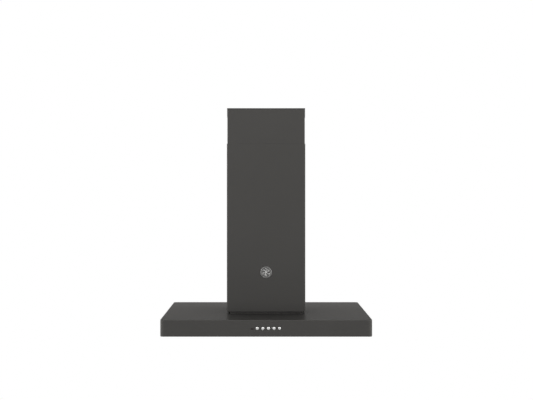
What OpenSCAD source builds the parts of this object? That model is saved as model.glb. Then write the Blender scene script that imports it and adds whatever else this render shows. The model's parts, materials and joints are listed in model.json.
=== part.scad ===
// Island range hood: a flat box canopy under a telescoping rectangular chimney that hangs
// from a ceiling plate. Origin: centre of the ceiling plane. +Z up, front towards -Y.

/* [Canopy] */
// Width of the canopy
canopy_w = 900; // [880:10:1200]
// Depth of the canopy
canopy_d = 700; // [660:10:760]
// Height of the canopy's vertical band
band_h = 71; // [71:1:90]
// Radius of the canopy's vertical corner bends
canopy_r = 9; // [6:1:12]
// Sheet thickness of the canopy
canopy_t = 1.2; // [1:0.1:1.5]
// Height of the rim below the underside panel
rim_h = 13; // [12:1:16]

/* [Chimney] */
// Width of the lower chimney cover
chimney_w = 348; // [348:2:380]
// Depth of the lower chimney cover
chimney_d = 280; // [280:2:320]
// Length of the lower chimney cover
lower_l = 745; // [745:1:800]
// Length of the upper chimney cover
upper_l = 497; // [480:1:497]
// Distance from the ceiling to the top of the lower cover
upper_show = 158; // [150:1:200]
// Gap between the lower cover and the canopy
reveal = 10; // [8:1:14]
// Radius of the covers' vertical bends
cover_r = 3; // [2:0.5:4]

/* [Duct] */
// Outside diameter of the outlet spigot
duct_d = 150; // [120:5:150]
// Distance of the duct's axis behind the centre plane
duct_y = 32; // [30:1:34]

/* [Controls] */
// Diameter of a push button
button_d = 12; // [10:0.5:15]
// Distance between neighbouring buttons
button_pitch = 23.6; // [21:0.2:24]
// Place of the middle button along the width
button_x = 9.2; // [0:0.1:12]
// Travel of a button
button_travel = 2.5; // [1.5:0.1:2.8]

/* [Grease filters] */
// Width of a grease filter
filter_w = 318; // [300:2:318]
// Depth of a grease filter
filter_d = 430; // [400:2:430]
// Thickness of a grease filter
filter_h = 12; // [10:1:12]

/* [Badge] */
// Diameter of the round badge
badge_d = 50; // [40:1:60]
// Height of the badge above the lower cover's bottom edge
badge_up = 175; // [100:5:300]

/* [Hidden] */
$fn = 64;

// Finishes
graphite = [0.20, 0.195, 0.19];
zinc = [0.66, 0.67, 0.68];
steel = [0.78, 0.78, 0.77];
dark_plastic = [0.12, 0.12, 0.13];
fastener = [0.55, 0.55, 0.56];

// Heights, from the ceiling down
lower_top = -upper_show;
lower_bottom = lower_top - lower_l;
canopy_top = lower_bottom - reveal;
canopy_bottom = canopy_top - band_h;
panel_bottom = canopy_bottom + rim_h;
panel_t = 1.2;
panel_r = canopy_r - canopy_t;
hem_lip = 14;
panel_top = panel_bottom + panel_t;
canopy_inner_top = canopy_top - canopy_t;

// Ceiling plate
plate_t = 3;
flange_h = 38;
flange_t = 1;
cover_screw_z = -22;
cover_screw_y = 60;
cover_screw_r = 1.9;
cover_hole_r = 2.1;
screw_head_r = 3.5;
screw_head_h = 1.2;
vent_n = 5;
vent_z = -64;
vent_pitch = 13;
vent_y = 52;
vent_w = 5;
vent_l = 50;
ceiling_hole_r = 4.25;
ceiling_pitch_x = 210;
ceiling_pitch_y = 184;
ceiling_duct_r = duct_d / 2 + 15;
cable_hole_r = 11;
cable_hole_y = -100;

// Chimney covers
cover_t = 1;
cover_gap = 1;
upper_w = chimney_w - 2 * cover_t - 2 * cover_gap;
upper_d = chimney_d - 2 * cover_t - 2 * cover_gap;
upper_bottom = -plate_t - upper_l;
seam = 0.3;
tongue_w = 12;
lip_in = 18;
seam_screw_y = -6;
seam_screw_z = [lower_bottom + 25, lower_bottom + 140, lower_bottom + 255];
rest_gap = 0.3;
plate_w = upper_w + 2 * flange_t;
plate_d = upper_d + 2;

// Telescopic frame
post_t = 2;
post_leg = 25;
post_x = upper_w / 2 - cover_t - 7;
post_y = upper_d / 2 - cover_t - 7;
post_gap = 0.4;
post_foot = 34;
post_foot_hole = 17;
post_bolt_r = 2.95;
post_hole_r = 3.2;
low_post_x = post_x - post_t - post_gap;
low_post_y = post_y - post_t - post_gap;
low_post_leg = post_leg - post_t - post_gap;
low_post_top = -200;
slot_w = 7;
slot_top = -150;
slot_bottom = upper_bottom + 10;
clamp_x = post_x - 12.5;
clamp_z = [-215, -240];
clamp_r = 2.95;
brace_h = 20;
upper_brace_z = -100;
lower_brace_z = -284;
foot_t = 2;
low_foot = 36;
low_foot_hole = 24;
low_hole_r = 2.7;
nut_r = 5.5;

// Motor box
box_w = chimney_w - 44;
box_d = chimney_d - 44;
box_t = 1.2;
box_top = -596;
box_flange = 14;
aperture_w = box_w - 32;
aperture_d = box_d - 32;
box_bolt_r = 2.4;
box_bolts = [
  for (sx = [-1, 1], y = [-60, 60]) [sx * (box_w / 2 - 8), y],
  for (sy = [-1, 1], x = [-80, 80]) [x, sy * (box_d / 2 - 8)]
];

// Blower
blower_y = -8;
blower_z = -800;
wheel_r = 80;
wheel_in_r = 66;
wheel_half = 68;
blade_n = 36;
scroll_half = 78;
scroll_t = 1.5;
scroll_r0 = 88;
scroll_r1 = 118;
tongue_angle = 60;
scroll_top = box_top - box_t;
blower_bolts_at = [for (sx = [-1, 1], y = [-30, 32, 95]) [sx * (scroll_half + 7), y]];
blower_hole_r = 2.2;
inlet_r = 68;
shaft_r = 4;
running_gap = 0.05;
motor_r = 42;
motor_x0 = -62;
motor_x1 = -12;

// Outlet and damper
spigot_t = 1.5;
spigot_top = box_top + 56;
flap_z = box_top + 28;
flap_t = 1.2;
rod_r = 2;
knuckle_r = 3.6;
flap_root = 5;
rear_knuckles = [-50, 30];
front_knuckles = [-25, 55];
knuckle_l = 20;

// Junction box and its cable gland
junction_a = [-150, -84, box_top];
junction_b = [-92, -26, box_top + 38];
gland_x = -121;
gland_z = box_top + 20;
gland_bore_r = 4.5;
gland_l = 24;
cable_way_y = -55;
cable_way_r = 6;

// Controls
button_z = canopy_top - 35.2;
front_y = -canopy_d / 2;
inner_y = front_y + canopy_t;
button_proud = 3;
guide_t = 10;
guide_x0 = -75;
guide_x1 = 90;
guide_h = 32;
box_back_y = inner_y + 44;
button_hole_r = button_d / 2 + 0.8;
stem_r = 3;
stem_l = 6.1;
cap_back = inner_y + guide_t + 0.3;
cap_flange = 1.5;
board_t = 1.6;
board_h = 24;
switch_w = 12;
switch_l = 6;
switch_gap = button_travel + 0.6;
board_y = cap_back + cap_flange + stem_l + switch_gap + switch_l;
button_at = [for (i = [-2:2]) button_x + i * button_pitch];
indicator_x = -59.5;
indicator_z = button_z - 2.8;
indicator_w = 12;
indicator_h = 6.5;
control_cable_x = -30;

// Underside
filter_x = 172;
opening_w = filter_w + 4;
opening_front = -filter_d / 2 - 2;
opening_rear = filter_d / 2 + 4;
filter_bottom = panel_bottom;
filter_top = filter_bottom + filter_h;
rail_t = 1.5;
rail_top = filter_top + 2.5;
hinge_y = filter_d / 2 - 4;
hinge_z = filter_bottom + 5.5;
peg_r = 2.5;
magnet_r = 7;
magnet_x = [-100, 100];
magnet_in = 10;
lamp_x = canopy_w / 2 - 58;
lamp_y = canopy_d / 2 - 88;
lamp_r = 27;
panel_screw_r = 1.9;
panel_screws_at = [
  for (sx = [-1, 1], y = [-200, 0, 200]) [sx * (canopy_w / 2 - 16), y],
  for (sy = [-1, 1], x = [-330, -130, 130, 330]) [x, sy * (canopy_d / 2 - 16)]
];

// Rectangle with round corners, centred
module round_rect(w, d, r) {
  square([w - 2 * r, d], center = true);
  square([w, d - 2 * r], center = true);
  for (sx = [-1, 1], sy = [-1, 1])
    translate([sx * (w / 2 - r), sy * (d / 2 - r)]) circle(r = r);
}

// Upright rectangular tube, from z0 to z1
module tube(w, d, r, t, z0, z1) {
  translate([0, 0, z0]) linear_extrude(z1 - z0) difference() {
    round_rect(w, d, r);
    round_rect(w - 2 * t, d - 2 * t, max(r - t, 0.3));
  }
}

// Box between two corners
module block(a, b) {
  translate(a) cube(b - a);
}

// Cylinder along X, from x0 to x1
module rod_x(r, x0, x1) {
  translate([x0, 0, 0]) rotate([0, 90, 0]) cylinder(r = r, h = x1 - x0);
}

// Cylinder along Y, from y0 to y1
module rod_y(r, y0, y1) {
  translate([0, y1, 0]) rotate([90, 0, 0]) cylinder(r = r, h = y1 - y0);
}

// The children in all four corners
module four_corners() {
  for (sx = [0, 1], sy = [0, 1]) mirror([sx, 0, 0]) mirror([0, sy, 0]) children();
}

// Space in front of the seam plane (side -1) or behind it (side 1)
module half_space(side) {
  far = 600;
  translate([-far, side < 0 ? -far : seam / 2, -2 * far]) cube([2 * far, far - seam / 2, 2.2 * far]);
}

// Hexagon bolt along -Z: head on z = 0, shank below
module hex_bolt(r, head_r, head_h, l) {
  cylinder(r = head_r, h = head_h, $fn = 6);
  translate([0, 0, -l]) cylinder(r = r, h = l);
}

module ceiling_plate() {
  color([0.13, 0.13, 0.13]) difference() {
    union() {
      block([-plate_w / 2, -plate_d / 2, -plate_t], [plate_w / 2, plate_d / 2, 0]);
      for (sx = [-1, 1])
        translate([sx * (plate_w - flange_t) / 2, 0, -plate_t - flange_h / 2])
          cube([flange_t, plate_d - 8, flange_h], center = true);
    }
    translate([0, duct_y, -plate_t - 1]) cylinder(r = ceiling_duct_r, h = plate_t + 2);
    translate([0, cable_hole_y, -plate_t - 1]) cylinder(r = cable_hole_r, h = plate_t + 2);
    for (sx = [-1, 1], sy = [-1, 1])
      translate([sx * ceiling_pitch_x / 2, sy * ceiling_pitch_y / 2, -plate_t - 1])
        cylinder(r = ceiling_hole_r, h = plate_t + 2);
    four_corners() translate([post_x - post_foot_hole, post_y - post_foot_hole, -plate_t - 1])
      cylinder(r = post_hole_r, h = plate_t + 2);
    cover_screw_holes();
  }
}

module cover_screw_holes() {
  for (sy = [-1, 1]) translate([0, sy * cover_screw_y, cover_screw_z]) rod_x(cover_hole_r, -plate_w, plate_w);
}

// Angle post in the corner (x, y), from z0 to z1
module angle_post(x, y, leg, z0, z1) {
  block([x - leg, y - post_t, z0], [x, y, z1]);
  block([x - post_t, y - leg, z0], [x, y, z1]);
}

module upper_posts() {
  color(zinc) four_corners() difference() {
    union() {
      angle_post(post_x, post_y, post_leg, upper_bottom, -plate_t);
      block([post_x - post_foot, post_y - post_foot, -plate_t - foot_t], [post_x, post_y, -plate_t]);
    }
    translate([post_x - post_foot_hole, post_y - post_foot_hole, -20]) cylinder(r = post_hole_r, h = 20);
    translate([clamp_x, 0, slot_top]) rod_y(slot_w / 2, post_y - 5, post_y + 1);
    translate([clamp_x, 0, slot_bottom]) rod_y(slot_w / 2, post_y - 5, post_y + 1);
    block([clamp_x - slot_w / 2, post_y - 5, slot_bottom], [clamp_x + slot_w / 2, post_y + 1, slot_top]);
  }
}

module upper_brace() {
  color(zinc) tube(2 * (post_x - post_t), 2 * (post_y - post_t), 0.5, post_t,
                   upper_brace_z, upper_brace_z + brace_h);
}

module upper_post_bolts() {
  color(fastener) four_corners()
    translate([post_x - post_foot_hole, post_y - post_foot_hole, -plate_t - foot_t]) mirror([0, 0, 1])
      hex_bolt(post_bolt_r, nut_r, 4, plate_t + foot_t - 0.2);
}

// Cover tube with vent slots near its top
module upper_tube() {
  difference() {
    tube(upper_w, upper_d, cover_r, cover_t, upper_bottom, -plate_t);
    cover_screw_holes();
    for (i = [0:vent_n - 1], sy = [-1, 1])
      translate([0, sy * vent_y, vent_z - vent_pitch * i]) {
        cube([2 * upper_w, vent_l, vent_w], center = true);
        for (e = [-1, 1]) translate([0, e * vent_l / 2, 0]) rod_x(vent_w / 2, -upper_w, upper_w);
      }
  }
}

module upper_cover_front() {
  color(graphite) intersection() {
    upper_tube();
    half_space(-1);
  }
}

module upper_cover_rear() {
  x = upper_w / 2 - cover_t;
  color(graphite) {
    intersection() {
      upper_tube();
      half_space(1);
    }
    for (sx = [0, 1]) mirror([sx, 0, 0])
      block([x - 1, -tongue_w, upper_bottom + 4], [x, 4, -140]);
  }
}

module upper_cover_screws() {
  color(graphite) for (sx = [0, 1], sy = [-1, 1]) mirror([sx, 0, 0])
    translate([0, sy * cover_screw_y, cover_screw_z]) {
      rod_x(cover_screw_r, plate_w / 2 - 5, plate_w / 2);
      rod_x(screw_head_r, plate_w / 2, plate_w / 2 + screw_head_h);
    }
}

module lower_posts() {
  color(zinc) four_corners() difference() {
    union() {
      angle_post(low_post_x, low_post_y, low_post_leg, box_top, low_post_top);
      block([low_post_x - low_foot, low_post_y - low_foot, box_top],
            [low_post_x, low_post_y, box_top + foot_t]);
    }
    translate([low_post_x - low_foot_hole, low_post_y - low_foot_hole, box_top - 1])
      cylinder(r = low_hole_r, h = 5);
    for (z = clamp_z) translate([clamp_x, 0, z]) rod_y(3.1, low_post_y - 5, low_post_y + 1);
  }
}

module lower_brace() {
  color(zinc) tube(2 * (low_post_x - post_t), 2 * (low_post_y - post_t), 0.5, post_t,
                   lower_brace_z, lower_brace_z + brace_h);
}

// Bolts through the lower posts, with their heads outside the upper posts
module frame_clamp_bolts() {
  nut_y = low_post_y - post_t;
  color(fastener) four_corners() for (z = clamp_z) translate([clamp_x, 0, z]) {
    rod_y(clamp_r, nut_y - 8, post_y + 0.4);
    translate([0, post_y + 3.8, 0]) rotate([90, 0, 0]) cylinder(r = nut_r, h = 3.4, $fn = 6);
    translate([0, nut_y, 0]) rotate([90, 0, 0]) cylinder(r = nut_r, h = 5, $fn = 6);
  }
}

module post_foot_bolts() {
  color(fastener) four_corners()
    translate([low_post_x - low_foot_hole, low_post_y - low_foot_hole, box_top + foot_t])
      hex_bolt(2.4, 4.5, 3.5, 9);
}

module canopy_shell() {
  color(graphite) difference() {
    union() {
      difference() {
        translate([0, 0, canopy_bottom]) linear_extrude(band_h) round_rect(canopy_w, canopy_d, canopy_r);
        translate([0, 0, canopy_bottom - 1]) linear_extrude(band_h + 1 - canopy_t)
          round_rect(canopy_w - 2 * canopy_t, canopy_d - 2 * canopy_t, canopy_r - canopy_t);
      }
      tube(canopy_w - canopy_t, canopy_d - canopy_t, canopy_r, hem_lip,
           canopy_bottom, canopy_bottom + canopy_t);
      for (p = panel_screws_at) panel_tab(p);
    }
    translate([0, 0, canopy_top - 5]) linear_extrude(10) round_rect(aperture_w, aperture_d, 4);
    for (p = box_bolts) translate([p[0], p[1], canopy_top - 5]) cylinder(r = low_hole_r, h = 10);
    for (p = panel_screws_at) translate([p[0], p[1], panel_top - 1]) cylinder(r = 2.1, h = 5);
    for (x = button_at) translate([x, 0, button_z]) rod_y(button_hole_r, front_y - 1, inner_y + 0.1);
    translate([indicator_x, front_y, indicator_z])
      cube([indicator_w + 0.4, 6, indicator_h + 0.4], center = true);
  }
}

// Welded tab that an underside panel screw goes into, reaching out to the nearest wall
module panel_tab(p) {
  side = abs(p[0]) > canopy_w / 2 - 20;
  grow = side ? [16.3, 14] : [14, 16.3];
  translate([p[0], p[1], panel_top + 1]) cube([2 * grow[0] - 1.8, 2 * grow[1] - 1.8, 2], center = true);
}

// Set-back ring that carries the lower cover above the canopy
module chimney_collar() {
  w = chimney_w - 24;
  d = chimney_d - 24;
  color([0.10, 0.10, 0.10]) {
    tube(w, d, 2, 2, canopy_top, lower_bottom - rest_gap);
    tube(w - 4, d - 4, 1, 6, canopy_top, canopy_top + 1.5);
  }
}

module underside_panel() {
  color(graphite) difference() {
    translate([0, 0, panel_bottom]) linear_extrude(panel_t) round_rect(canopy_w - 4, canopy_d - 4, panel_r);
    for (sx = [-1, 1])
      block([sx * filter_x - opening_w / 2, opening_front, panel_bottom - 1],
            [sx * filter_x + opening_w / 2, opening_rear, panel_top + 1]);
    for (p = panel_screws_at) translate([p[0], p[1], panel_bottom - 1]) cylinder(r = 2.1, h = 4);
    four_corners() translate([lamp_x, lamp_y, panel_bottom - 1]) cylinder(r = lamp_r + 0.5, h = 4);
  }
}

module panel_screws() {
  color(fastener) for (p = panel_screws_at) translate([p[0], p[1], panel_bottom]) {
    translate([0, 0, -1.4]) cylinder(r = 3.6, h = 1.4);
    cylinder(r = panel_screw_r, h = 5);
  }
}

// Guide frame above one filter opening
module filter_rail() {
  wall = opening_w / 2;
  difference() {
    block([-wall - rail_t, opening_front - rail_t, panel_top],
          [wall + rail_t, opening_rear + rail_t, rail_top]);
    block([-wall, opening_front, panel_top - 1], [wall, opening_rear, rail_top - 1]);
    block([-wall + 6, opening_front + 18, panel_top], [wall - 6, opening_rear, rail_top + 1]);
    translate([0, hinge_y, hinge_z]) rod_x(peg_r + 0.06, -wall - 5, wall + 5);
    for (x = magnet_x) translate([x, opening_front + magnet_in, rail_top - 5])
      cylinder(r = magnet_r + 0.1, h = 10);
  }
}

module filter_rails() {
  color(zinc) for (sx = [-1, 1]) translate([sx * filter_x, 0, 0]) filter_rail();
}

module filter_magnets() {
  color(fastener) for (sx = [-1, 1], x = magnet_x)
    translate([sx * filter_x + x, opening_front + magnet_in, filter_top + 0.4]) cylinder(r = magnet_r, h = 6);
}

module motor_box() {
  color(zinc) difference() {
    translate([0, 0, canopy_top]) linear_extrude(box_top - canopy_top) round_rect(box_w, box_d, 2);
    translate([0, 0, canopy_top + box_t]) linear_extrude(box_top - canopy_top - 2 * box_t)
      round_rect(box_w - 2 * box_t, box_d - 2 * box_t, 0.8);
    translate([0, 0, canopy_top - 1]) linear_extrude(4)
      round_rect(box_w - 2 * box_flange, box_d - 2 * box_flange, 3);
    translate([0, duct_y, box_top - 3]) cylinder(r = duct_d / 2 - spigot_t, h = 6);
    translate([gland_x, cable_way_y, box_top - 3]) cylinder(r = cable_way_r, h = 6);
    for (p = box_bolts) translate([p[0], p[1], canopy_top - 1]) cylinder(r = low_hole_r, h = 4);
    four_corners() translate([low_post_x - low_foot_hole, low_post_y - low_foot_hole, box_top - 3])
      cylinder(r = low_hole_r, h = 6);
    for (p = blower_bolts_at) translate([p[0], p[1], box_top - 3]) cylinder(r = blower_hole_r, h = 6);
  }
}

module motor_box_bolts() {
  color(fastener) for (p = box_bolts) translate([p[0], p[1], canopy_top + box_t]) {
    hex_bolt(box_bolt_r, 4.4, 3, 10);
    translate([0, 0, -box_t - canopy_t - 4]) cylinder(r = 4.4, h = 4, $fn = 6);
  }
}

// Outline of the scroll in the Y-Z plane, drawn in by inset
function scroll_points(inset) = concat(
  [for (a = [tongue_angle:10:360])
    let (r = scroll_r0 + (scroll_r1 - scroll_r0) * (a - tongue_angle) / (360 - tongue_angle) - inset)
    [blower_y + r * cos(a), blower_z + r * sin(a)]],
  [[blower_y + scroll_r1 - inset, scroll_top + inset],
   [duct_y - duct_d / 2 - 3 + 1.2 * inset, scroll_top + inset]]
);

// One half of the scroll, from the split plane outwards
module scroll_half_shell() {
  difference() {
    rotate([90, 0, 90]) translate([0, 0, 0.1]) linear_extrude(scroll_half - 0.1) polygon(scroll_points(0));
    rotate([90, 0, 90]) translate([0, 0, -1]) linear_extrude(scroll_half + 1 - scroll_t)
      polygon(scroll_points(scroll_t));
    translate([0, blower_y, blower_z]) rod_x(inlet_r, 0, scroll_half + 1);
  }
  difference() {
    block([scroll_half, duct_y - 72, scroll_top - 2], [scroll_half + 14, duct_y + 72, scroll_top]);
    for (p = blower_bolts_at) translate([abs(p[0]), p[1], scroll_top - 3]) cylinder(r = blower_hole_r, h = 6);
  }
}

module scroll_left() {
  color([0.35, 0.36, 0.38]) mirror([1, 0, 0]) scroll_half_shell();
}

module scroll_right() {
  color([0.35, 0.36, 0.38]) scroll_half_shell();
}

// Bell-mouthed ring on each side inlet
module inlet_rings() {
  color(dark_plastic) for (sx = [0, 1]) mirror([sx, 0, 0]) translate([scroll_half, blower_y, blower_z])
    rotate([0, 90, 0]) rotate_extrude() {
      translate([inlet_r - 1.5, -4]) square([1.4, 8]);
      translate([inlet_r - 1.5, 0]) square([8, 1.5]);
      translate([inlet_r + 1, 1.5]) square([1.5, 4]);
    }
}

module blower_bolts() {
  color(fastener) for (p = blower_bolts_at) translate([p[0], p[1], box_top]) {
    hex_bolt(1.95, 3.6, 2.8, 7);
    translate([0, 0, -box_t - 2 - 3]) cylinder(r = 3.6, h = 3, $fn = 6);
  }
}

module motor() {
  color([0.30, 0.30, 0.32]) translate([0, blower_y, blower_z]) difference() {
    union() {
      rod_x(motor_r, motor_x0, motor_x1 - 6);
      rod_x(motor_r - 14, motor_x1 - 6, motor_x1);
      rod_x(25, motor_x0 - 24, motor_x0);
    }
    rod_x(shaft_r + running_gap, motor_x0 + 12, motor_x1 + 1);
  }
}

// Three-armed bracket that holds the motor in the left inlet
module motor_bracket() {
  x = -scroll_half;
  color(zinc) translate([0, blower_y, blower_z]) for (a = [90, 210, 330]) rotate([a, 0, 0]) {
    block([x - 10, -6, 0], [x - 8, 6, 88]);
    translate([0, 0, 82]) rod_x(4, x - 8, x);
  }
}

module capacitor() {
  color([0.85, 0.85, 0.83]) translate([118, -84, blower_z - 30]) {
    cylinder(r = 15, h = 58);
    translate([0, 0, 58]) cylinder(r = 11, h = 4);
    for (sx = [-4, 4]) translate([sx, 0, 62]) cylinder(r = 1.5, h = 6);
    block([12, -6, 6], [box_w / 2 - box_t - 118, 6, 10]);
  }
}

module outlet_spigot() {
  r = duct_d / 2;
  color(dark_plastic) translate([0, duct_y, 0]) difference() {
    union() {
      translate([0, 0, box_top]) difference() {
        union() {
          cylinder(r = r, h = spigot_top - box_top);
          cylinder(r = r + 5, h = 1.8);
        }
        translate([0, 0, -1]) cylinder(r = r - spigot_t, h = spigot_top - box_top + 2);
      }
      for (sy = [-1, 1]) translate([0, sy * (r - spigot_t - 1), flap_z - flap_t / 2 - 1.8])
        cube([10, 4, 3], center = true);
    }
    translate([0, 0, flap_z]) rod_x(rod_r + running_gap, 0.8 - r, r - 0.8);
  }
}

module damper_rod() {
  color(fastener) translate([0, duct_y, flap_z]) rod_x(rod_r, 1 - duct_d / 2, duct_d / 2 - 1);
}

// Damper flap on the +Y side of its rod, with knuckles centred at the given places
module damper_flap(knuckles) {
  r = duct_d / 2 - spigot_t - 2;
  difference() {
    union() {
      intersection() {
        translate([0, 0, -flap_t / 2]) cylinder(r = r, h = flap_t);
        translate([-r, flap_root, -flap_t]) cube([2 * r, r, 2 * flap_t]);
      }
      for (x = knuckles) {
        rod_at = x - knuckle_l / 2;
        rod_x(knuckle_r, rod_at, rod_at + knuckle_l);
        block([rod_at, 0, -flap_t / 2], [rod_at + knuckle_l, flap_root + 1, flap_t / 2]);
      }
    }
    rod_x(rod_r + running_gap, -r, r);
  }
}

module damper_flap_rear() {
  color([0.25, 0.25, 0.27]) translate([0, duct_y, flap_z]) damper_flap(rear_knuckles);
}

module damper_flap_front() {
  color([0.25, 0.25, 0.27]) translate([0, duct_y, flap_z]) mirror([0, 1, 0]) damper_flap(front_knuckles);
}

module junction_box() {
  color(dark_plastic) difference() {
    block(junction_a, junction_b);
    block(junction_a + [2, 2, 2], junction_b + [-2, -2, 1]);
    translate([gland_x, cable_way_y, box_top - 1]) cylinder(r = cable_way_r, h = 4);
    translate([gland_x, junction_a[1] - 1, gland_z]) rotate([-90, 0, 0]) cylinder(r = 8, h = 4);
  }
}

module junction_box_lid() {
  color(dark_plastic) {
    block([junction_a[0] - 1, junction_a[1] - 1, junction_b[2]], junction_b + [1, 1, 2.5]);
    block([junction_a[0] + 2.3, junction_a[1] + 2.3, junction_b[2] - 3], junction_b + [-2.3, -2.3, 0]);
  }
}

module cable_gland() {
  color([0.08, 0.08, 0.08]) translate([gland_x, junction_a[1], gland_z]) rotate([90, 0, 0]) difference() {
    union() {
      translate([0, 0, -6]) cylinder(r = 7.9, h = 6);
      cylinder(r = 11, h = 5, $fn = 6);
      translate([0, 0, 5]) cylinder(r = 9, h = gland_l - 11);
    }
    translate([0, 0, -7]) cylinder(r = gland_bore_r, h = gland_l + 2);
  }
}

module terminal_block() {
  color([0.9, 0.9, 0.86]) difference() {
    block([-140, -66, box_top + 2.2], [-102, -66 + 4, box_top + 16]);
    for (i = [0:2]) translate([gland_x - 12 + 12 * i, 0, box_top + 9]) rod_y(2, -70, -60);
  }
  color([0.9, 0.9, 0.86]) difference() {
    block([-140, -44, box_top + 2.2], [-102, -32, box_top + 18]);
    for (i = [0:2]) translate([gland_x - 12 + 12 * i, -38, box_top + 6]) cylinder(r = 2.4, h = 14);
  }
}

module control_box() {
  z0 = button_z - guide_h / 2;
  z1 = button_z + guide_h / 2;
  y0 = inner_y + guide_t;
  color(dark_plastic) difference() {
    block([guide_x0, y0, z0], [guide_x1, box_back_y, z1]);
    block([guide_x0 + 2, y0 - 1, z0 + 2], [guide_x1 - 2, box_back_y - 2, z1 - 2]);
    translate([control_cable_x, y0 + 22, z1 - 4]) cylinder(r = 3.4, h = 6);
  }
}

module button_guide() {
  z0 = button_z - guide_h / 2;
  color(dark_plastic) difference() {
    block([guide_x0, inner_y, z0], [guide_x1, inner_y + guide_t, z0 + guide_h]);
    for (x = button_at) translate([x, 0, button_z])
      rod_y(button_d / 2 + 0.06, inner_y - 1, inner_y + guide_t + 1);
    translate([indicator_x, inner_y, indicator_z])
      cube([indicator_w + 0.4, 3 * guide_t, indicator_h + 0.4], center = true);
  }
}

module switch_board() {
  color([0.10, 0.30, 0.16]) block([guide_x0 + 4, board_y, button_z - board_h / 2],
                                  [guide_x1 - 4, board_y + board_t, button_z + board_h / 2]);
  color(dark_plastic) for (x = button_at)
    block([x - switch_w / 2, board_y - switch_l, button_z - switch_w / 2],
          [x + switch_w / 2, board_y, button_z + switch_w / 2]);
}

module indicator_lens() {
  color([0.08, 0.06, 0.06]) translate([indicator_x, 0, indicator_z])
    block([-indicator_w / 2, front_y - 0.3, -indicator_h / 2],
          [indicator_w / 2, inner_y + guide_t + 4, indicator_h / 2]);
}

// Push button: cap, retaining flange and stem, along +Y
module push_button(x) {
  color([0.9, 0.9, 0.9]) translate([x, 0, button_z]) {
    rod_y(button_d / 2, front_y - button_proud, cap_back);
    rod_y(button_d / 2 + cap_flange, cap_back, cap_back + cap_flange);
    rod_y(stem_r, cap_back + cap_flange, cap_back + cap_flange + stem_l);
  }
}

module button_off() { push_button(button_at[0]); }
module button_low() { push_button(button_at[1]); }
module button_medium() { push_button(button_at[2]); }
module button_high() { push_button(button_at[3]); }
module button_light() { push_button(button_at[4]); }

module led_driver() {
  x0 = lamp_x - 40;
  color([0.92, 0.92, 0.9]) difference() {
    block([x0, -60, canopy_inner_top - 26], [x0 + 46, 60, canopy_inner_top]);
    for (sy = [-1, 1])
      block([x0 - 1, sy * 52 - 3, canopy_inner_top - 27], [x0 + 60, sy * 52 + 3, canopy_inner_top - 20]);
  }
}

module lamp_housings() {
  color([0.75, 0.75, 0.75]) four_corners() translate([lamp_x, lamp_y, panel_bottom + 1.8]) difference() {
    union() {
      cylinder(r = lamp_r, h = 26);
      for (i = [0:3]) translate([0, 0, 8 + 5 * i]) cylinder(r = lamp_r + 3, h = 1.6);
    }
    translate([0, 0, -1]) cylinder(r = lamp_r - 2, h = 14);
  }
}

module lamp_lenses() {
  color([0.95, 0.95, 0.92]) four_corners() translate([lamp_x, lamp_y, panel_bottom - 1])
    cylinder(r = lamp_r - 3, h = 2.6);
}

module lamp_bezels() {
  r = lamp_r;
  color(steel) four_corners() translate([lamp_x, lamp_y, panel_bottom]) rotate_extrude() {
    translate([r - 2.9, -2]) square([8, 2]);
    translate([r - 2.9, 0]) square([2.8, 1.6]);
  }
}

// Cable from point to point, with round joints
module cable(points, r) {
  for (i = [0:len(points) - 2]) {
    d = points[i + 1] - points[i];
    l = norm(d);
    translate(points[i]) {
      sphere(r = r, $fn = 24);
      rotate([0, acos(d[2] / l), atan2(d[1], d[0])]) cylinder(r = r, h = l, $fn = 24);
    }
  }
}

module wiring() {
  z = canopy_inner_top - 8;
  y = inner_y + guide_t + 22;
  x = lamp_x - 17;
  color([0.15, 0.15, 0.16]) {
    cable([[gland_x, cable_way_y, box_top + 8], [gland_x, cable_way_y, z], [gland_x, y, z],
           [control_cable_x, y, z], [control_cable_x, y, button_z + 8]], 3);
    cable([[control_cable_x, y, z - 2], [x, y, z - 2], [x, -61, z - 2]], 2.2);
  }
}

// Cover tube with a lip turned in at its bottom, which rests on the collar
module lower_tube() {
  tube(chimney_w, chimney_d, cover_r, cover_t, lower_bottom, lower_top);
  tube(chimney_w - 1, chimney_d - 1, cover_r, lip_in - 0.5, lower_bottom, lower_bottom + cover_t);
}

module lower_screw_holes() {
  for (z = seam_screw_z) translate([0, seam_screw_y, z]) rod_x(cover_hole_r, -chimney_w, chimney_w);
}

module lower_cover_front() {
  color(graphite) difference() {
    intersection() {
      lower_tube();
      half_space(-1);
    }
    lower_screw_holes();
  }
}

module lower_cover_rear() {
  x = chimney_w / 2 - cover_t;
  color(graphite) difference() {
    union() {
      intersection() {
        lower_tube();
        half_space(1);
      }
      for (sx = [0, 1]) mirror([sx, 0, 0])
        block([x - 1, -tongue_w, lower_bottom + 8], [x, 4, lower_bottom + 265]);
    }
    lower_screw_holes();
  }
}

module lower_cover_screws() {
  x = chimney_w / 2;
  color(graphite) for (sx = [0, 1], z = seam_screw_z) mirror([sx, 0, 0]) translate([0, seam_screw_y, z]) {
    rod_x(cover_screw_r, x - 7, x);
    rod_x(screw_head_r, x, x + screw_head_h);
  }
}

// Round badge: a dished disc with a raised rim and a plain four-blade fan
module badge() {
  r = badge_d / 2;
  color([0.55, 0.55, 0.54]) translate([0, -chimney_d / 2, lower_bottom + badge_up]) rotate([90, 0, 0]) {
    cylinder(r = r, h = 1.2);
    rotate_extrude() translate([r - 2.5, 1.2]) square([2.5, 1.3]);
    cylinder(r = 4, h = 2.3);
    for (a = [45:90:315]) rotate([0, 0, a]) translate([10, 2, 0]) cylinder(r = 6, h = 2);
  }
}

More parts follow.
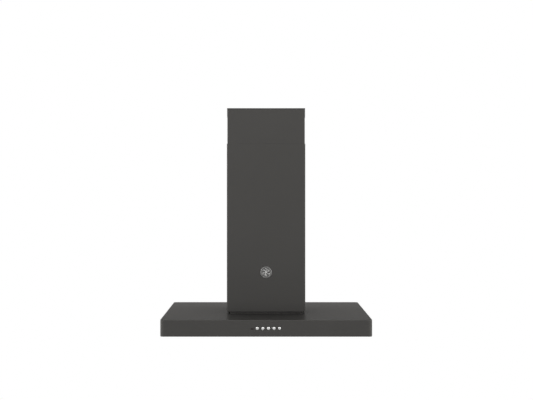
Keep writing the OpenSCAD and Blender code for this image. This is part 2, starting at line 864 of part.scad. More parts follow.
// Squirrel-cage wheel with a centre disc and blades on both sides
module impeller_wheel() {
  blade_l = 18;
  color([0.72, 0.73, 0.74]) translate([0, blower_y, blower_z]) rotate([0, 90, 0]) difference() {
    union() {
      translate([0, 0, -1.5]) cylinder(r = wheel_r, h = 3);
      translate([0, 0, -9]) cylinder(r = 12, h = 18);
      for (s = [-1, 1]) translate([0, 0, s * (wheel_half - 2) - 2]) difference() {
        cylinder(r = wheel_r, h = 4);
        translate([0, 0, -1]) cylinder(r = wheel_in_r, h = 6);
      }
      for (i = [0:blade_n - 1]) rotate([0, 0, i * 360 / blade_n]) translate([wheel_in_r + 6.5, 0, 0])
        rotate([0, 0, 40]) cube([blade_l - 4, 1.2, 2 * wheel_half - 2], center = true);
    }
    translate([0, 0, -20]) cylinder(r = shaft_r, h = 40);
  }
}

module rotor_shaft() {
  color(fastener) translate([0, blower_y, blower_z]) rod_x(shaft_r, motor_x0 + 14, 16);
}

// Filter frame: a shallow channel all round, with hinge pegs near its rear edge
module filter_frame() {
  w = filter_w;
  d = filter_d;
  translate([0, 0, filter_bottom]) difference() {
    block([-w / 2, -d / 2, 0], [w / 2, d / 2, filter_h]);
    block([-w / 2 + 1, -d / 2 + 1, 1], [w / 2 - 1, d / 2 - 1, filter_h - 1]);
    block([-w / 2 + 20, -d / 2 + 32, -1], [w / 2 - 20, d / 2 - 18, filter_h + 1]);
  }
  translate([0, hinge_y, hinge_z]) {
    rod_x(peg_r, w / 2, w / 2 + 5);
    rod_x(peg_r, -w / 2 - 5, -w / 2);
  }
}

// Channels along Y: the lower row opens upwards, the upper row covers its gaps
module filter_baffles() {
  n = 9;
  pitch = (filter_w - 30) / n;
  strip = pitch * 0.62;
  y0 = -filter_d / 2 + 24;
  y1 = filter_d / 2 - 12;
  for (i = [0:n - 1]) translate([-filter_w / 2 + 15 + pitch * (i + 0.5), 0, 0]) {
    block([-strip / 2, y0, filter_bottom + 1], [strip / 2, y1, filter_bottom + 1.8]);
    for (s = [0, 1]) mirror([s, 0, 0])
      block([strip / 2 - 0.8, y0, filter_bottom + 1.8], [strip / 2, y1, filter_bottom + 5]);
  }
  for (i = [1:n - 1]) translate([-filter_w / 2 + 15 + pitch * i, 0, 0]) {
    block([-strip / 2, y0, filter_top - 1.8], [strip / 2, y1, filter_top - 1]);
    for (s = [0, 1]) mirror([s, 0, 0])
      block([strip / 2 - 0.8, y0, filter_top - 5], [strip / 2, y1, filter_top - 1.8]);
  }
}

// Bow handle under the filter's front edge
module filter_handle() {
  y = -filter_d / 2 + 16;
  z = filter_bottom;
  block([-42, y - 5, z - 10.5], [42, y + 5, z - 8]);
  for (s = [0, 1]) mirror([s, 0, 0]) block([39, y - 5, z - 8], [42, y + 5, z]);
}

module left_filter_frame() { color(steel) translate([-filter_x, 0, 0]) filter_frame(); }
module left_filter_baffles() { color(steel) translate([-filter_x, 0, 0]) filter_baffles(); }
module left_filter_handle() { color(steel) translate([-filter_x, 0, 0]) filter_handle(); }
module right_filter_frame() { color(steel) translate([filter_x, 0, 0]) filter_frame(); }
module right_filter_baffles() { color(steel) translate([filter_x, 0, 0]) filter_baffles(); }
module right_filter_handle() { color(steel) translate([filter_x, 0, 0]) filter_handle(); }

ceiling_plate();
upper_posts();
upper_brace();
upper_post_bolts();
upper_cover_front();
upper_cover_rear();
upper_cover_screws();
lower_posts();
lower_brace();
frame_clamp_bolts();
post_foot_bolts();
canopy_shell();
chimney_collar();
underside_panel();
panel_screws();
filter_rails();
filter_magnets();
motor_box();
motor_box_bolts();
scroll_left();
scroll_right();
inlet_rings();
blower_bolts();
motor();
motor_bracket();
capacitor();
outlet_spigot();
damper_rod();
junction_box();
junction_box_lid();
cable_gland();
terminal_block();
control_box();
button_guide();
switch_board();
indicator_lens();
led_driver();
lamp_housings();
lamp_lenses();
lamp_bezels();
wiring();
lower_cover_front();
lower_cover_rear();
lower_cover_screws();
badge();
impeller_wheel();
rotor_shaft();
damper_flap_front();
damper_flap_rear();
left_filter_frame();
left_filter_baffles();
left_filter_handle();
right_filter_frame();
right_filter_baffles();
right_filter_handle();
button_off();
button_low();
button_medium();
button_high();
button_light();
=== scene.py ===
"""Looks of the island range hood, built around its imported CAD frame. All sizes are in metres."""
import json
import math
import bpy
import bmesh
from mathutils import Matrix, Vector

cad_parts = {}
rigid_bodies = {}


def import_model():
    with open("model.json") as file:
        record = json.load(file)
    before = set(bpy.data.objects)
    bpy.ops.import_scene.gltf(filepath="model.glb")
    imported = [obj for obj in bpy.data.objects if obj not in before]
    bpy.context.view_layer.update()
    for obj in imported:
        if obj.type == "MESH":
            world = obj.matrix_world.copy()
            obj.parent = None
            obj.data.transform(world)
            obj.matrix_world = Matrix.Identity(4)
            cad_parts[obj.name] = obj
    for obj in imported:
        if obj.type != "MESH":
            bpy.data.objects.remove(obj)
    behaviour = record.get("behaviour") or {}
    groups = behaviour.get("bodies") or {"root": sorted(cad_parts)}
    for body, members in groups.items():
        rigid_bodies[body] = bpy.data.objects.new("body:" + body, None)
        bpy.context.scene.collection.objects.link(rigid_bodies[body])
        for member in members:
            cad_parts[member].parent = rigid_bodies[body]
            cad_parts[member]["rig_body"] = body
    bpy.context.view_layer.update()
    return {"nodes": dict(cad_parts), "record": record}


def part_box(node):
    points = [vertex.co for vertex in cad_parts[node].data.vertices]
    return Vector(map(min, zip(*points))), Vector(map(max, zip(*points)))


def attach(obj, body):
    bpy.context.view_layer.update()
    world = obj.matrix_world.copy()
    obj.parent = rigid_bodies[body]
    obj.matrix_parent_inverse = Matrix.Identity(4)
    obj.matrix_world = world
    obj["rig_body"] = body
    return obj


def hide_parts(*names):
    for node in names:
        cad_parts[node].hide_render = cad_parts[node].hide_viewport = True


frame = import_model()
MM = 0.001
MERGE = 1e-6     # points closer than this are one
ON_AXIS = 1e-9   # a lathe point with a smaller radius lies on the axis

# Turns that take +Z to +Y, -Y and +X
INTO_Y = Matrix.Rotation(-math.pi / 2, 4, "X")
OUT_OF_Y = Matrix.Rotation(math.pi / 2, 4, "X")
ALONG_X = Matrix.Rotation(math.pi / 2, 4, "Y")

BUTTONS = ["button_off", "button_low", "button_medium", "button_high", "button_light"]
CAP_FLANGE = 1.5 * MM   # how far a button's flange stands out round its cap, behind the band


# ---------------------------------------------------------------- mesh helpers

def piece(name, bm, material, body, nodes=()):
    """Makes an object of a bmesh, gives it its finish and lets it ride on a body in place of CAD nodes."""
    bmesh.ops.remove_doubles(bm, verts=bm.verts, dist=MERGE)
    bmesh.ops.recalc_face_normals(bm, faces=bm.faces)
    mesh = bpy.data.meshes.new(name)
    bm.to_mesh(mesh)
    bm.free()
    obj = bpy.data.objects.new(name, mesh)
    bpy.context.scene.collection.objects.link(obj)
    obj.data.materials.append(material)
    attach(obj, body)
    if nodes:
        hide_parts(*nodes)
    return obj


def bake_modifiers(obj):
    """Turns the object's modifiers into plain mesh."""
    graph = bpy.context.evaluated_depsgraph_get()
    graph.update()
    mesh = bpy.data.meshes.new_from_object(obj.evaluated_get(graph), depsgraph=graph)
    obj.modifiers.clear()
    obj.data = mesh


def keep_flats(obj):
    """Weighs the shading normals by face size, so a small round doesn't shade the big flat beside it."""
    flats = obj.modifiers.new("flats", "WEIGHTED_NORMAL")
    flats.keep_sharp = True
    flats.weight = 90


def smooth(obj, angle=32):
    """Smooth shading that keeps edges sharper than the angle, and keeps big flats flat."""
    obj.data.polygons.foreach_set("use_smooth", [True] * len(obj.data.polygons))
    obj.data.set_sharp_from_angle(angle=math.radians(angle))
    keep_flats(obj)


def bevel(obj, width, segments=2, angle=40):
    """Small round on every edge sharper than the angle."""
    mod = obj.modifiers.new("edge_round", "BEVEL")
    mod.width = width
    mod.segments = segments
    mod.limit_method = "ANGLE"
    mod.angle_limit = math.radians(angle)
    mod.use_clamp_overlap = True


def cut(obj, cutter_bm):
    """Takes the cutter's solids out of the object."""
    mesh = bpy.data.meshes.new("cutter")
    bmesh.ops.recalc_face_normals(cutter_bm, faces=cutter_bm.faces)
    cutter_bm.to_mesh(mesh)
    cutter_bm.free()
    cutter = bpy.data.objects.new("cutter", mesh)
    bpy.context.scene.collection.objects.link(cutter)
    mod = obj.modifiers.new("cut", "BOOLEAN")
    mod.object = cutter
    mod.operation = "DIFFERENCE"
    mod.solver = "EXACT"
    bake_modifiers(obj)
    bpy.data.objects.remove(cutter)


def add_y_cylinder(bm, centre, radius, length, sides=48):
    """A solid cylinder along Y."""
    matrix = Matrix.Translation(centre) @ INTO_Y
    bmesh.ops.create_cone(bm, cap_ends=True, segments=sides, radius1=radius, radius2=radius, depth=length,
                          matrix=matrix)


def add_box(bm, low, high):
    """A solid box between two corners."""
    low, high = Vector(low), Vector(high)
    size = high - low
    matrix = Matrix.Translation((low + high) / 2) @ Matrix.Diagonal((*size, 1))
    bmesh.ops.create_cube(bm, size=1, matrix=matrix)


def add_lathe(bm, profile, matrix=Matrix.Identity(4), steps=64):
    """Turns (radius, height) points about Z, then places them. The profile closes on itself, or ends on
    the axis."""
    rings = []
    for radius, height in profile:
        if radius < ON_AXIS:
            rings.append([bm.verts.new(matrix @ Vector((0, 0, height)))])
            continue
        ring = []
        for i in range(steps):
            a = 2 * math.pi * i / steps
            ring.append(bm.verts.new(matrix @ Vector((radius * math.cos(a), radius * math.sin(a), height))))
        rings.append(ring)
    pairs = list(zip(rings, rings[1:]))
    if len(rings[0]) > 1 and len(rings[-1]) > 1:
        pairs.append((rings[-1], rings[0]))
    for a, b in pairs:
        for i in range(steps):
            j = (i + 1) % steps
            corners = [a[i % len(a)], a[j % len(a)], b[j % len(b)], b[i % len(b)]]
            unique = list(dict.fromkeys(corners))
            if len(unique) > 2:
                bm.faces.new(unique)


def loft(bm, rows):
    """Joins closed sections of the same length into a solid, with a cap at each end."""
    n = len(rows[0])
    for a, b in zip(rows, rows[1:]):
        for i in range(n):
            j = (i + 1) % n
            bm.faces.new((a[i], a[j], b[j], b[i]))
    bm.faces.new(rows[0][::-1])
    bm.faces.new(rows[-1])


def in_mm(points):
    """Points given in millimetres, in metres."""
    return [(x * MM, y * MM) for x, y in points]


def arc(cx, cy, r, a0, a1, n=6):
    """Points on a round, from angle a0 to a1 in degrees."""
    out = []
    for i in range(n + 1):
        a = math.radians(a0 + (a1 - a0) * i / n)
        out.append((cx + r * math.cos(a), cy + r * math.sin(a)))
    return out


# ---------------------------------------------------------------- folded sheet

# A path round an outline is a list of steps. The four corners, by the signs of x and y, go clockwise from
# the front right one, each with the angles in degrees at which its bend starts and ends.
CORNERS = {(1, -1): (0, -90), (-1, -1): (-90, -180), (-1, 1): (-180, -270), (1, 1): (-270, -360)}

# On the canopy, the flats turn by EASE degrees over EASE_L before each round begins.
EASE = 16
EASE_L = 12 * MM
EASE_STEPS = 4


def corner_steps(sx, sy, n=8):
    """Steps of a plain round bend."""
    a0, a1 = CORNERS[(sx, sy)]
    return [("corner", sx, sy, math.radians(a0 + (a1 - a0) * i / n)) for i in range(n + 1)]


def all_round():
    """Closed path round all four corners."""
    return [step for sx, sy in CORNERS for step in corner_steps(sx, sy)]


def eased_corner(sx, sy, n=10):
    """Steps of a bend whose neighbouring flats ease into it."""
    a0, a1 = CORNERS[(sx, sy)]
    into = [("ease", sx, sy, a0, i / EASE_STEPS) for i in range(EASE_STEPS + 1)]
    out_of = [("ease", sx, sy, a1, i / EASE_STEPS) for i in range(EASE_STEPS, -1, -1)]
    middle = []
    for i in range(n + 1):
        t = EASE / 90 + (1 - 2 * EASE / 90) * i / n
        middle.append(("round", sx, sy, math.radians(a0 + (a1 - a0) * t)))
    return into + middle + out_of


def eased_all_round():
    """Closed path round four eased corners."""
    return [step for sx, sy in CORNERS for step in eased_corner(sx, sy)]


def eased_at(step, w, d, r, inward):
    """Plan position of a step of an eased corner. The flat bows inward by up to sunk before the round."""
    sx, sy = step[1], step[2]
    turn = math.radians(EASE)
    sunk = EASE_L * turn / 2
    cx, cy = w / 2 - sunk - r * math.cos(turn), d / 2 - sunk - r * math.cos(turn)
    if inward >= r:
        return sx * (w / 2 - inward), sy * (d / 2 - inward)
    if step[0] == "round":
        return sx * cx + (r - inward) * math.cos(step[3]), sy * cy + (r - inward) * math.sin(step[3])
    flat, t = math.radians(step[3]), step[4]
    out_x, out_y = round(math.cos(flat)), round(math.sin(flat))
    along = r * math.sin(turn) - EASE_L * (1 - t)
    down = sunk * t * t
    x = out_x * (w / 2 - down) if out_x else sx * (cx + along)
    y = out_y * (d / 2 - down) if out_y else sy * (cy + along)
    normal = Vector((out_x or sx * turn * t, out_y or sy * turn * t)).normalized()
    return x - normal.x * inward, y - normal.y * inward


def half_round(side, gap):
    """Path of a U-shaped half on the -Y side (side -1) or the +Y side, open at the seam."""
    y = side * gap / 2
    middle = corner_steps(1, -1) + corner_steps(-1, -1)
    path = [("seam", 1, y)] + middle + [("seam", -1, y)]
    if side > 0:
        path = [(s[0], s[1], -s[2], -s[3]) if s[0] == "corner" else s for s in path]
    return path


def at(step, w, d, r, inward):
    """Plan position of a path step, a distance inward of a w by d outline whose bends have radius r."""
    if step[0] == "seam":
        return step[1] * (w / 2 - inward), step[2]
    if step[0] in ("ease", "round"):
        return eased_at(step, w, d, r, inward)
    _, sx, sy, a = step
    if inward >= r:
        return sx * (w / 2 - inward), sy * (d / 2 - inward)
    return sx * (w / 2 - r) + (r - inward) * math.cos(a), sy * (d / 2 - r) + (r - inward) * math.sin(a)


def folded_sheet(w, d, r, path, profile, closed, ring_at=None, ring_y=0.0):
    """Sweeps a closed profile of (inward, z) points along a path round the outline. A profile point whose
    first value is "ring" lies on another outline, given by ring_at = (w, d, r), moved by ring_y."""
    bm = bmesh.new()
    sections = []
    for step in path:
        section = []
        for inward, z in profile:
            if inward == "ring":
                x, y = at(step, *ring_at, 0)
                y += ring_y
            else:
                x, y = at(step, w, d, r, inward)
            section.append(bm.verts.new((x, y, z)))
        sections.append(section)
    n = len(profile)
    pairs = list(zip(sections, sections[1:]))
    if closed:
        pairs.append((sections[-1], sections[0]))
    for a, b in pairs:
        for i in range(n):
            j = (i + 1) % n
            bm.faces.new((a[i], a[j], b[j], b[i]))
    if not closed:
        bm.faces.new(sections[0])
        bm.faces.new(sections[-1][::-1])
    bmesh.ops.remove_doubles(bm, verts=bm.verts, dist=MERGE)
    return bm


# ---------------------------------------------------------------- materials

NOISE_LOW, NOISE_HIGH = 0.3, 0.7


def shader_of(m):
    return m.node_tree.nodes["Principled BSDF"]


def object_place(m, stretch=(1, 1, 1)):
    """Object coordinates in metres, stretched along each axis."""
    nodes, links = m.node_tree.nodes, m.node_tree.links
    coords = nodes.new("ShaderNodeTexCoord")
    mapping = nodes.new("ShaderNodeMapping")
    mapping.inputs["Scale"].default_value = stretch
    links.new(coords.outputs["Object"], mapping.inputs["Vector"])
    return mapping.outputs["Vector"]


def noise(m, vector, scale, detail):
    """Output of a noise texture, mostly between NOISE_LOW and NOISE_HIGH."""
    node = m.node_tree.nodes.new("ShaderNodeTexNoise")
    node.inputs["Scale"].default_value = scale
    node.inputs["Detail"].default_value = detail
    m.node_tree.links.new(vector, node.inputs["Vector"])
    return node.outputs["Fac"]


def ramp(m, value, low, high):
    """Maps a noise value to between two numbers."""
    node = m.node_tree.nodes.new("ShaderNodeMapRange")
    node.inputs["From Min"].default_value = NOISE_LOW
    node.inputs["From Max"].default_value = NOISE_HIGH
    node.inputs["To Min"].default_value = low
    node.inputs["To Max"].default_value = high
    m.node_tree.links.new(value, node.inputs["Value"])
    return node.outputs["Result"]


def tint(m, value, low, high):
    """Maps a noise value to between two colours."""
    node = m.node_tree.nodes.new("ShaderNodeValToRGB")
    node.color_ramp.elements[0].position = NOISE_LOW
    node.color_ramp.elements[1].position = NOISE_HIGH
    node.color_ramp.elements[0].color = (*low, 1)
    node.color_ramp.elements[1].color = (*high, 1)
    m.node_tree.links.new(value, node.inputs["Fac"])
    return node.outputs["Color"]


def bump(m, height, distance):
    """Relief that rises by distance, in metres, where the height rises by one."""
    node = m.node_tree.nodes.new("ShaderNodeBump")
    node.inputs["Distance"].default_value = distance
    node.inputs["Strength"].default_value = 1.0
    m.node_tree.links.new(height, node.inputs["Height"])
    m.node_tree.links.new(node.outputs["Normal"], shader_of(m).inputs["Normal"])


def scaled(colour, k):
    return tuple(c * k for c in colour)


def grained(name, colour, rough, metallic, spread, grain, depth, stretch=(1, 1, 1), blotch=9):
    """A surface with a cloudy tone, and a fine grain in sheen and relief. The tone strays from the colour
    by the share spread. Blotch and grain are noise scales per metre, and depth is the relief in metres."""
    m = bpy.data.materials.new(name)
    m.use_nodes = True
    inputs = shader_of(m).inputs
    inputs["Base Color"].default_value = (*colour, 1)
    inputs["Roughness"].default_value = rough
    inputs["Metallic"].default_value = metallic
    cloud = noise(m, object_place(m), blotch, 2)
    fine = noise(m, object_place(m, stretch), grain, 4)
    links = m.node_tree.links
    links.new(tint(m, cloud, scaled(colour, 1 - spread), scaled(colour, 1 + spread)), inputs["Base Color"])
    links.new(ramp(m, fine, rough * 0.88, rough * 1.12), inputs["Roughness"])
    bump(m, fine, depth)
    return m


def coated_steel():
    """Satin carbon-grey coating: mostly a dark metal gloss. The low specular tint keeps it dark at grazing
    angles, and the small part that isn't metal is a matt body tone without a gloss of its own."""
    level = 0.0402
    colour = (level, level * 0.971, level * 0.928)
    m = grained("carbon_coated_steel", colour, 0.45, 0.9, 0.02, 1400, 0.000006, blotch=3)
    shader_of(m).inputs["Specular IOR Level"].default_value = 0.0
    shader_of(m).inputs["Specular Tint"].default_value = (0.28, 0.28, 0.28, 1)
    return m


def smoked_lens():
    """Dark indicator window with a weak gloss."""
    m = grained("smoked_lens", (0.010, 0.008, 0.008), 0.12, 0.0, 0.1, 900, 0.000002)
    shader_of(m).inputs["Specular IOR Level"].default_value = 0.15
    return m


def frosted_glass():
    """Lamp glass that lets half the light through."""
    m = grained("frosted_lamp_glass", (0.85, 0.86, 0.84), 0.35, 0.0, 0.02, 1500, 0.00002)
    shader_of(m).inputs["Transmission Weight"].default_value = 0.5
    return m


def brushed(name, colour, rough, along):
    """Steel brushed along one axis."""
    stretch = [60, 60, 60]
    stretch["xyz".index(along)] = 1
    return grained(name, colour, rough, 1.0, 0.04, 40, 0.000012, stretch, 14)


# name, colour, roughness, metallic, spread, grain, depth and, where it isn't 9, blotch
coated = coated_steel()
zinc = grained("zinc_plated_sheet", (0.27, 0.275, 0.285), 0.38, 1.0, 0.10, 300, 0.00001, blotch=60)
filter_steel_y = brushed("brushed_filter_steel", (0.33, 0.328, 0.322), 0.36, "y")
filter_steel_x = brushed("brushed_filter_steel_across", (0.37, 0.368, 0.362), 0.32, "x")
bolt_zinc = grained("bright_zinc", (0.40, 0.408, 0.423), 0.30, 1.0, 0.08, 1200, 0.000008, blotch=120)
coated_screw = grained("coated_screw", (0.044, 0.043, 0.041), 0.42, 1.0, 0.05, 1500, 0.000006)
black_plastic = grained("black_plastic", (0.018, 0.018, 0.019), 0.48, 0.0, 0.08, 1800, 0.00002)
grey_plastic = grained("grey_plastic", (0.11, 0.115, 0.12), 0.5, 0.0, 0.05, 1800, 0.00002)
white_plastic = grained("white_plastic", (0.48, 0.475, 0.455), 0.42, 0.0, 0.02, 1500, 0.00001)
motor_enamel = grained("motor_enamel", (0.10, 0.10, 0.11), 0.35, 0.0, 0.06, 500, 0.00002)
rubber = grained("black_rubber", (0.014, 0.014, 0.014), 0.7, 0.0, 0.1, 1500, 0.00003)
board_green = grained("board_green", (0.015, 0.09, 0.035), 0.3, 0.0, 0.2, 600, 0.00001, blotch=300)
lamp_cast = grained("cast_aluminium", (0.55, 0.55, 0.56), 0.45, 1.0, 0.05, 1200, 0.00002)
wheel_sheet = grained("wheel_aluminium", (0.36, 0.365, 0.37), 0.35, 1.0, 0.05, 500, 0.00001)
magnet_nickel = grained("nickel", (0.48, 0.47, 0.45), 0.22, 1.0, 0.04, 900, 0.000005)
badge_metal = grained("badge_nickel", (0.190, 0.188, 0.184), 0.32, 1.0, 0.05, 1400, 0.00001)
badge_bright = grained("badge_bright_nickel", (0.37, 0.37, 0.36), 0.28, 1.0, 0.04, 1400, 0.00001)
badge_field = grained("badge_field", (0.068, 0.067, 0.066), 0.45, 1.0, 0.08, 1800, 0.00002)
button_face = grained("button_chrome", (0.59, 0.59, 0.58), 0.18, 1.0, 0.015, 900, 0.000003)
smoked = smoked_lens()
lamp_glass = frosted_glass()

# Every CAD node gets a finish, also those that a detailed piece replaces further on.
NODE_FINISH = {
    "ceiling_plate": coated, "chimney_collar": coated,
    "upper_posts": zinc, "upper_brace": zinc, "lower_posts": zinc, "lower_brace": zinc,
    "filter_rails": zinc, "motor_box": zinc, "motor_bracket": zinc,
    "upper_post_bolts": bolt_zinc, "frame_clamp_bolts": bolt_zinc, "post_foot_bolts": bolt_zinc,
    "panel_screws": bolt_zinc, "motor_box_bolts": bolt_zinc, "blower_bolts": bolt_zinc,
    "damper_rod": bolt_zinc, "rotor_shaft": bolt_zinc, "filter_magnets": magnet_nickel,
    "upper_cover_front": coated, "upper_cover_rear": coated, "lower_cover_front": coated,
    "lower_cover_rear": coated, "canopy_shell": coated, "underside_panel": coated,
    "upper_cover_screws": coated_screw, "lower_cover_screws": coated_screw,
    "scroll_left": grey_plastic, "scroll_right": grey_plastic, "damper_flap_front": grey_plastic,
    "damper_flap_rear": grey_plastic, "inlet_rings": black_plastic, "outlet_spigot": black_plastic,
    "junction_box": black_plastic, "junction_box_lid": black_plastic, "control_box": black_plastic,
    "button_guide": black_plastic, "motor": motor_enamel, "capacitor": white_plastic,
    "terminal_block": white_plastic, "led_driver": white_plastic, "cable_gland": rubber,
    "wiring": rubber, "switch_board": board_green, "indicator_lens": smoked,
    "lamp_housings": lamp_cast, "lamp_lenses": lamp_glass, "lamp_bezels": filter_steel_x,
    "badge": badge_metal, "impeller_wheel": wheel_sheet,
    "left_filter_frame": filter_steel_y, "right_filter_frame": filter_steel_y,
    "left_filter_baffles": filter_steel_y, "right_filter_baffles": filter_steel_y,
    "left_filter_handle": filter_steel_x, "right_filter_handle": filter_steel_x,
    **{name: button_face for name in BUTTONS},
}
for node_name, finish in NODE_FINISH.items():
    node_object = frame["nodes"][node_name]
    node_object.data.materials.clear()
    node_object.data.materials.append(finish)


# ---------------------------------------------------------------- canopy

def body_of(node):
    return frame["nodes"][node]["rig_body"]


def canopy():
    """Folded canopy: one sheet swept round the outline, from the opening for the motor box in the top, over
    the top bend, the band and the hem, to the lip turned in at the bottom, with holes for the controls."""
    low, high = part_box("canopy_shell")
    w, d = high.x - low.x, high.y - low.y
    top, bottom = high.z, low.z
    sheet, r, top_bend, hem_bend, lip = 1.2 * MM, 8.5 * MM, 2.0 * MM, 2.4 * MM, 14.6 * MM
    box_low, box_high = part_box("motor_box")
    ledge = 16 * MM
    ring_at = (box_high.x - box_low.x - 2 * ledge, box_high.y - box_low.y - 2 * ledge, 4 * MM)
    outer = [(x, top - top_bend + y) for x, y in arc(top_bend, 0, top_bend, 90, 180)]
    outer += [(x, bottom + hem_bend + y) for x, y in arc(hem_bend, 0, hem_bend, 180, 270)]
    inner = [(x, bottom + hem_bend + y) for x, y in arc(hem_bend, 0, hem_bend - sheet, 270, 180)]
    inner += [(x, top - top_bend + y) for x, y in arc(top_bend, 0, top_bend - sheet, 180, 90)]
    profile = [("ring", top)] + outer + [(lip, bottom), (lip, bottom + sheet)] + inner
    profile += [("ring", top - sheet)]
    bm = folded_sheet(w, d, r, eased_all_round(), profile, True, ring_at)
    obj = piece("canopy", bm, coated, "hood", ["canopy_shell"])
    holes, through = bmesh.new(), 5 * MM
    for name in BUTTONS:
        b_low, b_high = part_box(name)
        centre = (b_low + b_high) / 2
        hole_r = (b_high.x - b_low.x) / 2 - CAP_FLANGE + 0.8 * MM
        add_y_cylinder(holes, (centre.x, low.y, centre.z), hole_r, 2 * through)
    lens_low, lens_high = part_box("indicator_lens")
    play = 0.2 * MM
    add_box(holes, (lens_low.x - play, low.y - through, lens_low.z - play),
            (lens_high.x + play, low.y + through, lens_high.z + play))
    cut(obj, holes)
    smooth(obj)


# ---------------------------------------------------------------- chimney covers

def cover_profile(low_z, high_z, sheet, bend, lip):
    """Closed profile of a cover wall: outside down, turned in at the bottom when it has a lip, up inside."""
    edge = 0.25 * MM
    if lip:
        outer = [(x, low_z + bend + y) for x, y in arc(bend, 0, bend, 180, 270)]
        inner = [(x, low_z + bend + y) for x, y in arc(bend, 0, bend - sheet, 270, 180, 4)]
        foot = outer + [(lip, low_z), (lip, low_z + sheet)] + inner
    else:
        foot = [(0, low_z + edge), (edge, low_z), (sheet - edge, low_z), (sheet, low_z + edge)]
    return [(0, high_z - edge)] + foot + [(sheet, high_z - edge), (sheet - edge, high_z), (edge, high_z)]


SEAM_GAP = 0.06 * MM   # between the two halves, small enough to let no light through


def cover_half(name, node, side, lip, slots):
    """One U-shaped half of a cover, on the -Y side (side -1) or the +Y side, with vent slots in the walls
    that face -X and +X if slots is true."""
    low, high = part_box(node)
    w = high.x - low.x
    d = 2 * max(abs(low.y), abs(high.y))
    profile = cover_profile(low.z, high.z, 1 * MM, 1.1 * MM, lip)
    bm = folded_sheet(w, d, 3 * MM, half_round(side, SEAM_GAP), profile, False)
    obj = piece(name, bm, coated, body_of(node), [node])
    if slots:
        first, pitch = -64 * MM, 13 * MM
        half = Vector((5 * MM, 25 * MM, 2.5 * MM))
        holes = bmesh.new()
        for i in range(5):
            for sx in (-1, 1):
                centre = Vector((sx * w / 2, side * 52 * MM, first - pitch * i))
                add_box(holes, centre - half, centre + half)
        cut(obj, holes)
    smooth(obj)


def cover_screws():
    """Coated cross-head screws in the sides of both covers, and zinc ones in the underside panel."""
    r, h = 3.5 * MM, 1.2 * MM
    low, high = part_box("upper_cover_screws")
    x, y, z = high.x - h, high.y - r, (low.z + high.z) / 2
    places = [Vector((sx * x, sy * y, z)) for sx in (-1, 1) for sy in (-1, 1)]
    cross_screws("upper_cover_screw_heads", "upper_cover_screws", places, facing_x, r, h, coated_screw)
    low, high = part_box("lower_cover_screws")
    x, y, z0, z1 = high.x - h, (low.y + high.y) / 2, low.z + r, high.z - r
    places = [Vector((sx * x, y, z)) for sx in (-1, 1) for z in (z0, (z0 + z1) / 2, z1)]
    cross_screws("lower_cover_screw_heads", "lower_cover_screws", places, facing_x, r, h, coated_screw)
    low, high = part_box("panel_screws")
    r = 3.6 * MM
    x, y, z = high.x - r, high.y - r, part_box("underside_panel")[0].z
    places = [Vector((sx * x, py, z)) for sx in (-1, 1) for py in (-200 * MM, 0, 200 * MM)]
    places += [Vector((px, sy * y, z)) for sy in (-1, 1) for px in (-330 * MM, -130 * MM, 130 * MM, 330 * MM)]
    cross_screws("panel_screw_heads", "panel_screws", places, facing_down, r, 1.4 * MM, bolt_zinc)


# ---------------------------------------------------------------- controls and badge

def push_button(node):
    """Chrome cap with a lightly domed face and a rounded edge, a retaining flange and a stem. The light
    button also has a small grey dot, which stands out from the face by the amount sunk."""
    low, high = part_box(node)
    centre = (low + high) / 2
    flange = (high.x - low.x) / 2
    r = flange - CAP_FLANGE
    depth = high.y - low.y
    back, thick, stem = depth - 7.6 * MM, 1.5 * MM, 3 * MM
    rim, crown, sunk = 0.9 * MM, 0.2 * MM, 0.06 * MM
    face = r - rim
    profile = [(face * k / 6, sunk + crown * (k / 6) ** 2) for k in range(7)]
    profile += arc(face, sunk + crown + rim, rim, -84, 0, 8)
    profile += [(r, back), (flange, back), (flange, back + thick)]
    profile += [(stem, back + thick), (stem, depth), (0, depth)]
    bm = bmesh.new()
    matrix = Matrix.Translation((centre.x, low.y, centre.z)) @ INTO_Y
    add_lathe(bm, profile, matrix)
    smooth(piece(node + "_cap", bm, button_face, body_of(node), [node]), 40)
    if node == "button_light":
        mark = bmesh.new()
        dot, edge, root = 1.5 * MM, 0.1 * MM, 1 * MM
        add_lathe(mark, [(0, 0), (dot - edge, 0), (dot, edge), (dot, root), (0, root)], matrix)
        smooth(piece(node + "_mark", mark, grey_plastic, body_of(node)), 40)


